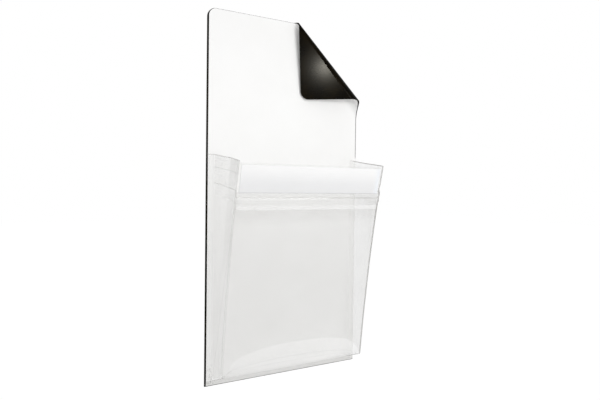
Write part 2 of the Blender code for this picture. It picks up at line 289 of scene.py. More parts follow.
def flat_part(edge, columns=30, below=60, beside=26, round_corner=13):
    """The flat sheet inside its margins, up to the roll's first line, as x and z on a grid.

    Each row runs from the left edge, or the round corner, to the right edge or to that line. The
    round corner is a quarter circle: x = radius - radius times the root of 1 - rise^2."""
    high = HALF_HIGH - edge["top"]
    radius = CORNER_RADIUS - edge["left"]
    slope = along_roll[0] / along_roll[1]
    meets = ROLL_SIDE[1] - edge["right"] / slope
    z = np.concatenate([
        np.linspace(edge["foot"] - HALF_HIGH, meets, below),
        np.linspace(meets, high - radius, beside)[1:],
        high - radius + radius * np.sin(np.linspace(0, math.pi / 2, round_corner))[1:],
    ])
    rounded = np.clip((z - (high - radius)) / radius, 0.0, 1.0)
    left = edge["left"] - HALF_WIDE + radius - radius * np.sqrt(1 - rounded**2)
    right_edge = np.where(z < POCKET_TOP, HALF_WIDE, HALF_WIDE - edge["right"])
    end = np.minimum(right_edge, ROLL_SIDE[0] + (z - ROLL_SIDE[1]) * slope)
    x = left[:, None] + (end - left)[:, None] * np.linspace(0, 1, columns)
    return x, np.broadcast_to(z[:, None], x.shape)


def upright_plate(name, x, z, front, back):
    """A flat plate from its x and z, between two depths in front of the magnet's back face."""
    skins = [np.stack([x, np.full_like(x, -deep), z], -1) for deep in (front, back)]
    return make_shell(name, skins[0], skins[1], np.stack([x, z], -1))


rubber = rubber_finish()
white_film = white_finish()

magnet_sheet = upright_plate("rubber_sheet", *flat_part(RUBBER_EDGE), RUBBER_FRONT, 0.0)
magnet_sheet.data.materials.append(rubber)
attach(magnet_sheet, "backing")
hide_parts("magnet_sheet")

face_sheet = upright_plate("white_sheet", *flat_part(FILM_EDGE), FACE_FRONT, FACE_BACK)
face_sheet.data.materials.append(white_film)
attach(face_sheet, "backing")
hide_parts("face_sheet")


# Rolled corner. The same rubber and film, peeled off the steel and turned over in one smooth
# roll, tight at the top edge and wider at the right edge, so that the corner shows its black
# back. It is made in six strips, each an arc between the turned planes of two neighbouring bodies.
ROLL_TURN = math.radians(195.0)
STRIPS = 6
FLAT_STEP = ROLL_TURN * math.sin(ROLL_ANGLE) / STRIPS
ARC_WEIGHT = math.cos(ROLL_TURN / STRIPS / 2)


def flat_line(angle):
    """The way along the line at an angle past the roll's first line, on the flat sheet."""
    angle = np.asarray(angle)[..., None]
    return along_roll * np.cos(angle) + across_roll * np.sin(angle)


def on_face(flat):
    """Places on the flat sheet, put on the white film's front."""
    return np.stack([flat[..., 0], np.full(flat.shape[:-1], -FACE_FRONT), flat[..., 1]], -1)


def body_turn(number):
    """How corner body number stands: each hinge before it has turned the sheet about its line."""
    turn = Matrix.Identity(4)
    tip = Matrix.Translation(on_face(roll_tip).tolist())
    for hinge in range(number):
        line = flat_line((hinge + 0.5) * FLAT_STEP)
        axis = Vector((line[0], 0.0, line[1]))
        turn = turn @ tip @ Matrix.Rotation(ROLL_TURN / STRIPS, 4, axis) @ tip.inverted()
    return np.array(turn)


def turned(points, turn):
    """Points moved by a body's turn."""
    return points @ turn[:3, :3].T + turn[:3, 3]


def strip_skin(number, edge, down=48, over=9):
    """One strip of the roll: its flat places, its points on the white film's front and the way
    out through the rubber.

    At a distance from the tip, a strip is the arc of a circle that touches the two bodies' planes:
    a rational curve from one plane to the other, with its handle on the hinge between them. Its
    weights are (1 - t)^2, 2 w t (1 - t) and t^2, where w is the cosine of half the turn."""
    share = np.linspace(0, 1, over)
    line = flat_line((number + share) * FLAT_STEP)
    first = (HALF_HIGH - edge["top"] - roll_tip[1]) / line[:, 1]
    last = (HALF_WIDE - edge["right"] - roll_tip[0]) / line[:, 0]
    reach = first + (last - first) * np.linspace(0, 1, down)[:, None]
    flat = roll_tip + line * reach[..., None]

    def ray(body, angle, stretch):
        """The line at an angle, carried by a body, at stretch times each distance from the tip."""
        spot = roll_tip + flat_line(angle) * (reach * stretch)[..., None]
        return turned(on_face(spot), body_turn(body))

    near = ray(number, number * FLAT_STEP, 1.0)
    handle = ray(number, (number + 0.5) * FLAT_STEP, 1 / math.cos(FLAT_STEP / 2))
    far = ray(number + 1, (number + 1) * FLAT_STEP, 1.0)
    t = share[:, None]
    weights = (1 - t) ** 2, 2 * ARC_WEIGHT * t * (1 - t), t**2
    slopes = -2 * (1 - t), 2 * ARC_WEIGHT * (1 - 2 * t), 2 * t
    total = sum(weights)
    points = (near * weights[0] + handle * weights[1] + far * weights[2]) / total
    run = (near * slopes[0] + handle * slopes[1] + far * slopes[2] - points * sum(slopes)) / total
    way = np.cross(run, points - on_face(roll_tip))
    way /= np.linalg.norm(way, axis=-1, keepdims=True)
    back = body_turn(number)[:3, :3] @ np.array((0.0, 1.0, 0.0))
    if way[0, 0] @ back < 0:
        way = -way
    return flat, points, way


def corner_replaces(kind, number):
    """Strip number stands for the plate on its second body; the last one leaves that to the flap."""
    if number + 1 < STRIPS:
        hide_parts(f"{kind}_bend_{number + 1}")


for number in range(STRIPS):
    flat, points, way = strip_skin(number, RUBBER_EDGE)
    rubber_strip = make_shell(f"rubber_roll_{number + 1}", points + way * FACE_FRONT,
                              points + way * (FACE_FRONT - RUBBER_FRONT), flat, shading=way)
    rubber_strip.data.materials.append(rubber)
    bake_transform(rubber_strip)
    corner_replaces("magnet", number)

    flat, points, way = strip_skin(number, FILM_EDGE)
    white_strip = make_shell(f"white_roll_{number + 1}", points,
                             points + way * (FACE_FRONT - FACE_BACK), flat, shading=-way)
    white_strip.data.materials.append(white_film)
    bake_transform(white_strip)
    corner_replaces("face", number)


# Flap. The corner beyond the roll, lying black side up over the white face, with the sheet's
# round corner as its tip. It is the same cut sheet and is held only by the roll.
def flap_part(edge, rows=90, tip_rows=24, across=40):
    """The flap on the flat sheet: chords parallel to the roll's last line, from the top edge to
    the right edge, and at the end from one side of the round corner to the other, where half a
    chord is the root of radius^2 - n^2. The last one is short, 88 degrees round the corner."""
    line = flat_line(STRIPS * FLAT_STEP)
    onward = np.array((-line[1], line[0]))
    wide, high = HALF_WIDE - edge["right"], HALF_HIGH - edge["top"]
    radius = CORNER_RADIUS - edge["right"]
    centre = np.array((HALF_WIDE - CORNER_RADIUS, HALF_HIGH - CORNER_RADIUS)) - roll_tip
    middle, deep = centre @ line, centre @ onward
    n = np.concatenate([
        np.linspace(0, deep, rows)[:-1],
        deep + radius * np.sin(np.radians(np.linspace(0, 88, tip_rows))),
    ])
    top = (high - roll_tip[1] - n * onward[1]) / line[1]
    side = (wide - roll_tip[0] - n * onward[0]) / line[0]
    half = np.sqrt(np.clip(radius**2 - (n - deep) ** 2, 0.0, None))
    on_top = roll_tip[0] + top * line[0] + n * onward[0] < HALF_WIDE - CORNER_RADIUS
    on_side = roll_tip[1] + side * line[1] + n * onward[1] < HALF_HIGH - CORNER_RADIUS
    first = np.where(on_top, top, middle - half)
    last = np.where(on_side, side, middle + half)
    reach = first[:, None] + (last - first)[:, None] * np.linspace(0, 1, across)
    return roll_tip + reach[..., None] * line + n[:, None, None] * onward


flap_turn = body_turn(STRIPS)
flap_way = flap_turn[:3, :3] @ np.array((0.0, 1.0, 0.0))

flat = flap_part(RUBBER_EDGE)
points = turned(on_face(flat), flap_turn)
rubber_flap = make_shell("rubber_flap", points + flap_way * FACE_FRONT,
                         points + flap_way * (FACE_FRONT - RUBBER_FRONT), flat)
rubber_flap.data.materials.append(rubber)
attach(rubber_flap, "corner_flap")
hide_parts("magnet_flap")

flat = flap_part(FILM_EDGE)
points = turned(on_face(flat), flap_turn)
white_flap = make_shell("white_flap", points, points + flap_way * (FACE_FRONT - FACE_BACK), flat)
white_flap.data.materials.append(white_film)
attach(white_flap, "corner_flap")
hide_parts("face_flap")


# Pocket front. One clear vinyl film, 0.5 mm thick, that hangs from the mouth, slopes back down
# to a soft bend along its foot and turns in to the sheet. Heat seals cross it under the header,
# and its two lower corners are folded tight.
FOOT = -HALF_HIGH
FILM = 0.0005
FILM_GAP = 0.0003
FILM_ON_SHEET = 0.00055
FLANGE_HIGH = 0.0070
MOUTH_HIGH, MOUTH_BACK_HIGH, MOUTH_DEEP = 0.2950, 0.3056, 0.0784
FOLD_HIGH, FOLD_DEEP = 0.0185, 0.0321
BEND_START_HIGH, BEND_TIP_HIGH, BEND_TIP_DEEP = 0.0566, 0.0350, 0.0349
BEND_FALL, FALL_POWER, TIP_FALL = 0.0160, 2.2, 0.6
CORNER_START_HIGH = FOLD_HIGH + 0.0033
CORNER_AT, CORNER_POWER = 0.98, 14
FRONT_PULL, FOOT_PULL, CORNER_PULL = (0.73, 0.94), (0.36, 0.90), 6
FRONT_BOW = 0.0040
MOUTH_SAG = 0.0022
UPPER_WELD, LOWER_WELD = 0.0425, 0.0520
HEAD_LONG = LOWER_WELD + 0.006
TUBE_BULGE = 0.0012
POCKET_HALF = 0.1100
FRONT_HALF = POCKET_HALF + FILM / 2
EDGE_WAVE, WAVE_REACH = 0.0009, 0.004
PUFFED_AT, PINCHED_AT = 0.0400, 0.0325


def vinyl_finish(name, haze, milk):
    """Clear vinyl: it lets most light through, and greys a little. haze gives its opacity and milk
    takes its colour from grey to white, each as a function of the flat map.

    It thickens to the eye where it is seen along its surface: what it lets through loses 0.35 of
    the fifth power of Facing."""
    grey, white = (0.250, 0.240, 0.218), (0.93, 0.93, 0.925)
    material, flat = new_finish(name)
    opacity, whiteness = haze(flat), milk(flat)
    facing = flat.node("ShaderNodeLayerWeight", {}, {"Blend": 0.5}, output="Facing")
    surface(flat, {
        "Base Color": whiteness.mixed(grey, white),
        "Roughness": 0.10,
        "Alpha": 1 - (1 - opacity) * (1 - facing ** 5.0 * 0.35),
        "Normal": flat.noise(24.0, 2.0).relief(0.0004),
    })
    return material


def front_depth(height):
    """Depth of the front film: a straight slope from fold to mouth, bowed in at its middle by a
    parabola, 4 times the bow times share times 1 - share."""
    share = (height - FOLD_HIGH) / (MOUTH_HIGH - FOLD_HIGH)
    return FOLD_DEEP + (MOUTH_DEEP - FOLD_DEEP) * share - 4 * FRONT_BOW * share * (1 - share)


def cornering(out):
    """0 along most of the foot and 1 at its two corners: (out / CORNER_AT)^CORNER_POWER, where
    the quotient is 1 at most."""
    return np.minimum(1.0, out / CORNER_AT) ** CORNER_POWER


def foot_handles(out):
    """The four points (depth, height) of the curve that turns the front in to the sheet, at
    shares out of the half width: a long soft bend in the middle and a tight fold at the corners.

    Each value goes from the middle's to the corner's with cornering. The bend starts lower
    outwards, by BEND_FALL times out^FALL_POWER, and its tip falls by TIP_FALL of that. The
    handles lie on the lines to the bend's tip, at the shares FRONT_PULL and FOOT_PULL of them."""
    corner = cornering(out)
    fall = BEND_FALL * out**FALL_POWER

    def between(middle, at_corner):
        """A value at the shares out, from its two ends."""
        return middle + (at_corner - middle) * corner

    start_high = between(BEND_START_HIGH - fall, CORNER_START_HIGH)
    tip_high = between(BEND_TIP_HIGH - TIP_FALL * fall, FOLD_HIGH)
    start = np.stack([front_depth(start_high), start_high], -1)
    tip = np.stack([between(BEND_TIP_DEEP, FOLD_DEEP), tip_high], -1)
    end = np.broadcast_to(np.array((FILM_ON_SHEET, FLANGE_HIGH + FILM_GAP)), start.shape)
    front_pull, foot_pull = (between(*pull)[..., None] for pull in (FRONT_PULL, FOOT_PULL))
    return start, start + (tip - start) * front_pull, end + (tip - end) * foot_pull, end


def tube_bulge(drop):
    """How far the film stands out between the hem's two weld lines, as half a sine wave."""
    share = np.clip((drop - UPPER_WELD) / (LOWER_WELD - UPPER_WELD), 0.0, 1.0)
    return TUBE_BULGE * np.sin(math.pi * share)


def front_skin(out, rows_head=44, rows_down=70, rows_foot=36):
    """Depth and height down the front at shares out of its half width, with the way along the
    film from the mouth and the share of the foot's curve.

    The mouth sags by MOUTH_SAG times 1 - out^100, so on all but its last 2 mm. The foot is a
    rational cubic curve, whose two inner weights grow with cornering to draw a tight fold."""
    start, first, second, end = foot_handles(out)
    top = MOUTH_HIGH - MOUTH_SAG * (1 - out**100)
    head = np.linspace(0, HEAD_LONG, rows_head)[:, None]
    fall = top - start[..., 1] - head[-1]
    below = head[-1] + fall * np.linspace(0, 1, rows_down)[1:, None]
    drop = np.concatenate([np.broadcast_to(head, (rows_head, len(fall))), below])
    height = top - drop
    straight = np.stack([front_depth(height) + tube_bulge(drop), height], -1)
    t = np.linspace(0, 1, rows_foot)[1:, None, None]
    pull = (1 + CORNER_PULL * cornering(out))[..., None]
    shares = (1 - t) ** 3, 3 * (1 - t) ** 2 * t * pull, 3 * (1 - t) * t**2 * pull, t**3
    curve = sum(p * s for p, s in zip((start, first, second, end), shares)) / sum(shares)
    points = np.concatenate([straight, curve])
    foot = np.concatenate([np.zeros(drop.shape), np.broadcast_to(t[..., 0], curve.shape[:2])])
    steps = np.linalg.norm(np.diff(points, axis=0), axis=-1)
    fallen = np.concatenate([np.zeros((1, points.shape[1])), np.cumsum(steps, axis=0)])
    return points, fallen, foot


def edge_wave(drop):
    """How far the front's two edges stand out: pinched beside the strip and puffed at the weld,
    each a bump of exp(-(distance / WAVE_REACH)^2)."""
    puffed, pinched = (np.exp(-((drop - place) / WAVE_REACH) ** 2) for place in (PUFFED_AT, PINCHED_AT))
    return EDGE_WAVE * (puffed - pinched)


def in_pocket(x, deep_high):
    """Points from x and a depth before the white face and height above the sheet's lower edge."""
    x = np.broadcast_to(x, deep_high.shape[:-1])
    return np.stack([x, -FACE_FRONT - deep_high[..., 0], FOOT + deep_high[..., 1]], -1)


def skin_normals(points):
    """Unit normals of a grid of points, from the differences between its neighbours."""
    way = np.cross(np.gradient(points, axis=0), np.gradient(points, axis=1))
    return way / np.linalg.norm(way, axis=-1, keepdims=True)


def film_piece(name, points, flat, thickness=FILM, marks=None):
    """A film of even thickness about a grid of points. The films let light through to the sheet
    behind them, and the photo shows no shade of theirs there, so they cast none."""
    # Their haze over the sheet stands in for these missing shadows, so their grey there is partly
    # painted shade
    half = skin_normals(points) * thickness / 2
    piece = make_shell(name, points + half, points - half, flat, marks=marks)
    piece.visible_shadow = False
    return piece


def split_map(flat):
    """The two parts of the flat map."""
    parts = flat.node("ShaderNodeSeparateXYZ", {}, {0: flat})
    return parts, Wire(flat.tree, parts.socket.node.outputs[1])


# Places down the front film, as drops below its mouth edge. A band's are its middle, half its
# width and its soft edge
STRIP_END = (0.0366, 0.0378)
PAINTED_LIGHT_ABOVE, PALE_BELOW = (0.0399, 0.0016, 0.0008), (0.0570, 0.0022, 0.0014)
WELD_LINE, TUBE_FACE = (0.0440, 0.0003, 0.0006), (0.0482, 0.0040, 0.0012)
# The band under the hem is grey painted shade over the pocket's inside
UNDER_HEM_SHADE_START, UNDER_HEM_SHADE_END = (0.057, 0.060), (0.060, 0.084)

# Places across it, or shares of its foot's curve
WELD_GAP, WELD_BROKEN = (0.015, 0.008, 0.014), (0.030, 0.060)
# The front's side edges are darker, partly the seal and partly painted shade, more on the right
SEALED_SHADED_EDGE = (FRONT_HALF - 0.0022, FRONT_HALF - 0.0012)
LEFT_SHADED_EDGE = (FRONT_HALF - 0.0016, FRONT_HALF)
TOE_SIDE, TOE_START = (FRONT_HALF - 0.0060, FRONT_HALF - 0.0020), (0.45, 0.60)
GUSSET_BEHIND, GUSSET_BELOW = (0.060, 0.098), (0.040, 0.046)
FOOT_HIGHLIGHT_ARCS, FOOT_HIGHLIGHT_ARC = (0.05, 0.50, 0.68), (0.012, 0.03)


def hem_zones(flat):
    """Masks of 0 to 1 where the front film lies over the strip, on the pale bands above and below the
    tube, of which the upper one is painted light, on the upper weld, on the tube, in the band of
    painted shade below them and on the bend along the foot, whose whitening is painted reflection.
    foot is the share of the foot's curve. The bands' height wavers by 0.6 mm."""
    x, drop = split_map(flat)
    foot = flat.node("ShaderNodeAttribute", {"attribute_name": "foot"}, {}, output="Fac")
    line = drop + (flat.noise(1.0, 2.0, stretch=(60.0, 20.0, 1.0)) - 0.5) * 0.0012
    return dict(
        x=x, drop=drop, foot=foot,
        strip=1 - drop.rise(*STRIP_END),
        # The pale band above the weld is painted light
        pale=(line.band(*PAINTED_LIGHT_ABOVE) * 0.62).most(line.band(*PALE_BELOW)),
        weld=line.band(*WELD_LINE),
        tube=line.band(*TUBE_FACE),
        # A grey band of painted shade under the hem
        under_hem_shade=drop.rise(*UNDER_HEM_SHADE_START) * (1 - drop.rise(*UNDER_HEM_SHADE_END)),
        # The whitened bend along the foot is painted reflection
        bend=foot.rise(0.02, 0.08),
    )


def front_haze(flat):
    """The front is clearest over the header strip, and hazier at the welds, at its edges, whose
    darkening is partly painted shade, along the foot, with arcs of painted highlight, and before the
    right gusset. The upper weld's line has a gap right of the middle and is broken beyond it. The haze
    is the sum of these, each times its own amount."""
    zone = hem_zones(flat)
    x, foot = zone["x"], zone["foot"]
    cloud = flat.noise(26.0, 3.0).rise(0.30, 0.75)
    beyond = x.rise(*WELD_BROKEN)
    broken = beyond * flat.noise(1.0, 1.0, stretch=(420.0, 8.0, 1.0)).rise(0.4, 0.6)
    dashes = 1.75 - x.band(*WELD_GAP) * 1.30 - beyond * 0.75 + broken
    # Painted highlights: faint bright arcs across the foot's curve
    faint, middle, low = (foot.band(place, *FOOT_HIGHLIGHT_ARC) for place in FOOT_HIGHLIGHT_ARCS)
    highlight_arcs = faint + (middle + low) * 2
    # Darker side edges, more at the right: partly the seal, partly painted shade
    edges = x.rise(*SEALED_SHADED_EDGE) + (0 - x).rise(*LEFT_SHADED_EDGE) * 0.25
    toe = foot.rise(*TOE_START) * x.rise(*TOE_SIDE)
    before_gusset = x.rise(*GUSSET_BEHIND) * zone["drop"].rise(*GUSSET_BELOW)
    # The base haze is partly the film's own grey and partly painted shade in place of the film's shadow
    return (0.078 + cloud * 0.008 - zone["strip"] * 0.074
            + zone["weld"] * dashes * 0.104 + zone["tube"] * 0.052 + zone["pale"] * 0.110
            + zone["under_hem_shade"] * 0.070 + zone["bend"] * 0.004 + highlight_arcs * 0.012
            + edges * 0.30 + toe * 0.26 + before_gusset * 0.030)


def front_milk(flat):
    """The pale bands are whitest, the upper one painted light, then the bend along the foot, a painted
    reflection, more on its right half and in its lower half. The tube and the band of painted shade
    under the hem are greyer, and the sealed edges are grey, partly the seal and partly painted shade."""
    zone = hem_zones(flat)
    x = zone["x"]
    # Painted reflection on the bend along the foot, whiter in its lower half and towards the right
    bend = zone["bend"] * (0.52 + zone["foot"].rise(0.5, 0.6) * 0.1 + x.rise(0.0, 0.08) * 0.2)
    milk = (zone["tube"] * 0.33).most(zone["pale"] * 0.82).most(bend).most(zone["under_hem_shade"] * 0.15)
    # Grey at the sealed edges: partly the seal, partly painted shade
    return milk * (1 - x.size().rise(*SEALED_SHADED_EDGE))


# The edges' wave fades inwards, as the 12th power of the share across
columns = np.sin(np.linspace(-math.pi / 2, math.pi / 2, 97))
section, fallen, foot = front_skin(np.abs(columns))
points = in_pocket(columns * (FRONT_HALF + edge_wave(fallen) * columns**12), section)
flat = np.stack([np.broadcast_to(columns * FRONT_HALF, fallen.shape), fallen], -1)
front_film = film_piece("clear_front", points, flat, marks={"foot": foot})
front_film.data.materials.append(vinyl_finish("clear vinyl front", front_haze, front_milk))
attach(front_film, "front")
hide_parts("front_panel")


# Header. A white plastic strip stiffens the mouth's edge. The front's film is folded over it to
# the inside and sealed under it in two lines, which leave a small tube between them.
STRIP = 0.0008
STRIP_HALF, HEM_HALF = 0.1065, 0.1081
STRIP_TOP, STRIP_FOOT = 0.0026, 0.0370
HEM_TOP, HEM_LIP, HEM_TAIL = 0.0005, 0.0030, 0.0050
AROUND_STRIP = FILM / 2 + FILM_GAP + STRIP + FILM_GAP + FILM / 2
WELDED_BEHIND = FILM + 0.00005
TUBE_BACK = 1.6
SLOPE = math.hypot(1.0, (MOUTH_DEEP - FOLD_DEEP) / (MOUTH_HIGH - FOLD_HIGH))

# Drops where the strip's painted shade and its foot's painted shadow begin, and where its right end
# starts
PAINTED_SHADE_DROP, FOOT_SHADOW_DROP, BLUISH_END = (0.004, 0.030), (0.0345, 0.0372), (0.096, 0.106)


def behind_front(drop, behind):
    """Depth and height at drops below the mouth, so far behind the front film's middle. SLOPE
    takes a distance square to the film to one in depth."""
    height = MOUTH_HIGH - MOUTH_SAG - drop
    return np.stack([front_depth(height) - behind * SLOPE, height], -1)


def strip_finish():
    """White plastic strip, glossy and even, that greys to a cool painted shade towards its foot, with a
    darker painted shadow at the foot itself, and is bluer at its right end."""
    white, painted_shade, painted_foot_shadow = (0.970, 0.970, 0.970), (0.846, 0.848, 0.854), (0.790, 0.793, 0.804)
    bluish = (0.90, 0.92, 0.95)
    material, flat = new_finish("white strip")
    x, drop = split_map(flat)
    # Painted shade down the strip, then a painted shadow along its foot
    tone = drop.rise(*PAINTED_SHADE_DROP).mixed(white, painted_shade)
    tone = drop.rise(*FOOT_SHADOW_DROP).mixed(tone, painted_foot_shadow)
    tone = x.rise(*BLUISH_END).mixed(tone, bluish)
    fine = flat.noise(1.0, 2.0, stretch=(60.0, 1400.0, 1.0))
    surface(flat, {
        "Base Color": tone,
        "Roughness": 0.24 + fine * 0.08,
        "Specular IOR Level": 0.35,
        "Normal": fine.relief(0.000006),
    })
    return material


drops = np.linspace(STRIP_TOP, STRIP_FOOT, 24)[:, None]
wide = np.linspace(-STRIP_HALF, STRIP_HALF, 41)
section = behind_front(drops, FILM / 2 + FILM_GAP + STRIP / 2)
section = np.broadcast_to(section, (len(drops), len(wide), 2))
flat = np.stack(np.broadcast_arrays(wide, drops), -1)
header_strip = film_piece("white_header_strip", in_pocket(wide, section), flat, STRIP)
header_strip.data.materials.append(strip_finish())
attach(header_strip, "front")
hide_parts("header_strip")


def hem_behind(drop):
    """How far the inner fold lies behind the front film: it rounds the strip's top edge as a
    quarter circle, passes behind the strip, closes in to the upper weld along a smooth step, and
    bulges out to TUBE_BACK times the front's own bulge to make the tube."""
    lip = np.sqrt(np.clip(1 - (1 - drop / HEM_LIP).clip(0) ** 2, 0, 1))
    closing = np.clip((drop - STRIP_FOOT) / (UPPER_WELD - STRIP_FOOT), 0, 1)
    loose = lip * (1 - closing**2 * (3 - 2 * closing))
    return WELDED_BEHIND + (AROUND_STRIP - WELDED_BEHIND) * loose + TUBE_BACK * tube_bulge(drop)


def hem_haze(flat):
    """The inner fold is clear, and a little hazier on the tube."""
    return 0.026 + hem_zones(flat)["tube"] * 0.012


def hem_milk(flat):
    """The inner fold is white on the tube, and grey elsewhere."""
    return hem_zones(flat)["tube"]


drops = np.concatenate([np.linspace(HEM_TOP, UPPER_WELD, 40),
                        np.linspace(UPPER_WELD, LOWER_WELD + HEM_TAIL, 24)[1:]])
wide = np.linspace(-HEM_HALF, HEM_HALF, 41)
section = behind_front(drops, hem_behind(drops))[:, None]
section = np.broadcast_to(section, (len(drops), len(wide), 2))
flat = np.stack(np.broadcast_arrays(wide, drops[:, None]), -1)
header_hem = film_piece("clear_header_hem", in_pocket(wide, section), flat)
header_hem.data.materials.append(vinyl_finish("clear vinyl hem", hem_haze, hem_milk))
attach(header_hem, "front")
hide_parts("header_hem")


# Gussets. Each side of the pocket is one clear film that is sealed to the sheet at its back and
# to the front at its other edge, and creased inward along its middle. It is made in two parts that
# meet along its diagonal.
SIDES = {"right": 1.0, "left": -1.0}
CREASE_DEEP = 0.0050
CREASE_LENGTH = 0.150
RIM_CLEAR = FILM / 2 + 0.00036
RIM_INSET, INSET_POWER = 0.0018, 0.45
RIM_START, RIM_END = 0.012, 0.985
SWING_HIGH = 0.15
SIDE_HEM_TOP, SIDE_HEM_END = 0.0010, 0.0520
SIDE_HEM_ROOT, SIDE_HEM_SHORT = 0.0012, 0.0025

# Places on a gusset's film, as drops below its mouth edge
SEAL_LINES = (0.0165, 0.0003, 0.0008), (0.0375, 0.0004, 0.0006)
MOUTH_LINE, WHITE_START, WHITE_END = (0.0009, 0.0016), (0.0010, 0.0018), (0.050, 0.054)
CREASE_SHADE_SPAN, PULLED_END, CLEAR_BELOW = (0.085, 0.030, 0.030), (0.048, 0.062), (0.052, 0.070)

# Places across it, as depths before the sheet
CREASE_SHADE_LINE, UPRIGHT_START, CLEAR_BESIDE = (0.052, 0.0010, 0.0045), (0.058, 0.066), (0.006, 0.016)


def gusset_rim():
    """Where a gusset meets the front and its foot, from the foot up to the mouth: the front's own
    section at its corner, moved in, and more towards mid height, as the sine of pi times
    share^INSET_POWER."""
    section = front_skin(np.ones(1))[0][::-1, 0]
    run = np.gradient(section, axis=0)
    run /= np.linalg.norm(run, axis=-1, keepdims=True)
    share = np.clip(section[:, 1] / MOUTH_HIGH, 0, 1)
    inset = RIM_CLEAR + RIM_INSET * np.sin(math.pi * share**INSET_POWER)
    return section + np.stack([-run[:, 1], run[:, 0]], -1) * inset[:, None]


def gusset_points(spot, inward):
    """Points of the right gusset at depths and heights, bent inward along a crease at mid depth
    that fades out below the mouth: a tent of 1 - |2 share - 1| times the root of what is left of
    the crease's length."""
    deep, high = spot[..., 0], spot[..., 1]
    share = (deep - FILM_ON_SHEET) / (front_depth(np.maximum(high, FOLD_HIGH)) - FILM_ON_SHEET)
    fade = np.sqrt(np.clip(1 - (MOUTH_BACK_HIGH - high) / CREASE_LENGTH, 0, 1))
    crease = CREASE_DEEP * fade * (1 - np.abs(2 * share - 1)).clip(0)
    return in_pocket(POCKET_HALF - inward - crease, spot)


def gusset_map(spot):
    """The gusset's flat map: its depth, and the drop below its mouth edge."""
    deep, high = spot[..., 0], spot[..., 1]
    edge = MOUTH_BACK_HIGH + (MOUTH_HIGH - MOUTH_BACK_HIGH) * deep / MOUTH_DEEP
    return np.stack([deep, edge - high], -1)


def gusset_haze(flat):
    """Hazy lines cross the gusset where its hem is sealed, its mouth edge is darker, its crease shows
    faintly as a line of painted shade, and crinkles show faintly. The haze is the sum of these, each
    times its own amount. A crinkle is a line where a stretched noise is a half."""
    deep, drop = split_map(flat)
    line = drop + (flat.noise(30.0, 2.0) - 0.5) * 0.003
    seals = line.band(*SEAL_LINES[0]) * 0.5 + line.band(*SEAL_LINES[1])
    edge = 1 - drop.rise(*MOUTH_LINE)
    cloud = flat.noise(30.0, 3.0).rise(0.30, 0.75)
    streaks = flat.noise(1.0, 2.0, stretch=(420.0, 12.0, 1.0)).rise(0.45, 0.65)
    # Painted shade: a faint grey line along the crease
    crease = deep.band(*CREASE_SHADE_LINE) * drop.band(*CREASE_SHADE_SPAN)
    pulled = flat.noise(1.0, 1.0, stretch=(20.0, 130.0, 1.0)).band(0.50, 0.004, 0.016)
    upright = flat.noise(1.0, 1.0, stretch=(300.0, 14.0, 1.0)).band(0.50, 0.010, 0.030)
    crinkles = pulled * (1 - drop.rise(*PULLED_END)) * 0.045 + upright * deep.rise(*UPRIGHT_START) * 0.05
    return (0.049 + cloud * 0.014 + streaks * 0.012 + seals * 0.16 + edge * 0.16 + crease * 0.016
            + crinkles)


def right_gusset_haze(flat):
    """The right gusset is clearer below its hem and beside the sheet, and darker at its mouth."""
    deep, drop = split_map(flat)
    edge = (1 - drop.rise(*MOUTH_LINE)) * 0.16
    haze = (gusset_haze(flat) + edge - drop.rise(*CLEAR_BELOW) * 0.036).most(0.012)
    return haze * (0.15 + deep.rise(*CLEAR_BESIDE) * 0.85)


def gusset_milk(flat):
    """The gusset is whiter down to its hem's end, but not at the mouth edge itself."""
    drop = split_map(flat)[1]
    return (1 - drop.rise(*WHITE_END)) * drop.rise(*WHITE_START) * 0.6


def side_hem_haze(flat):
    """The side hems are almost clear, with a faint cloud."""
    return 0.022 + flat.noise(40.0, 2.0) * 0.006


def side_hem_milk(flat):
    """The side hems go from grey to white with the same cloud."""
    return flat.noise(40.0, 2.0).rise(0.3, 0.7)


def between_lines(first, last, columns):
    """A grid of depths and heights that goes straight from one line's points to another's."""
    return first[:, None] + (last - first)[:, None] * np.linspace(0, 1, columns)[:, None]


rim = gusset_rim()
root_foot = np.array((FILM_ON_SHEET, FLANGE_HIGH + FILM_GAP + RIM_CLEAR))
root_top = np.array((FILM_ON_SHEET, MOUTH_BACK_HIGH))

# The back part spans from the sheet to the diagonal, and the front part from there to the rim
share = np.linspace(RIM_START, 1, 90)[:, None]
root = root_foot + (root_top - root_foot) * share
diagonal = root_foot + (rim[-1] - root_foot) * share
back_part = between_lines(root, diagonal, 17)
share = np.linspace(RIM_START, RIM_END, 110)[:, None]
diagonal = root_foot + (rim[-1] - root_foot) * share
length = np.concatenate([[0], np.cumsum(np.linalg.norm(np.diff(rim, axis=0), axis=-1))])
outer = np.stack([np.interp(share[:, 0] * length[-1], length, rim[:, axis]) for axis in (0, 1)], -1)
front_part = between_lines(diagonal, outer, 9)

# The furthest reach of the front part from the foot, square to its slope
chord = rim[-1] - rim[np.argmax(rim[:, 1] > FOLD_HIGH)]
outward = np.array((chord[1], -chord[0])) / np.linalg.norm(chord)
front_reach = root_foot + outward * ((rim[-1] - root_foot) @ outward)

# The side hem runs from the sheet to just short of the rim's slope, which is the rim without its
# 40 points nearest to the foot
slope = rim[40:]
hem_drop = np.linspace(SIDE_HEM_TOP, SIDE_HEM_END, 24)
hem_high = MOUTH_HIGH - hem_drop
hem_deep = np.interp(hem_high, slope[:, 1], slope[:, 0]) - SIDE_HEM_SHORT
hem_root = np.stack([np.full_like(hem_drop, SIDE_HEM_ROOT), MOUTH_BACK_HIGH - hem_drop], -1)
side_hem = between_lines(hem_root, np.stack([hem_deep, hem_high], -1), 17)

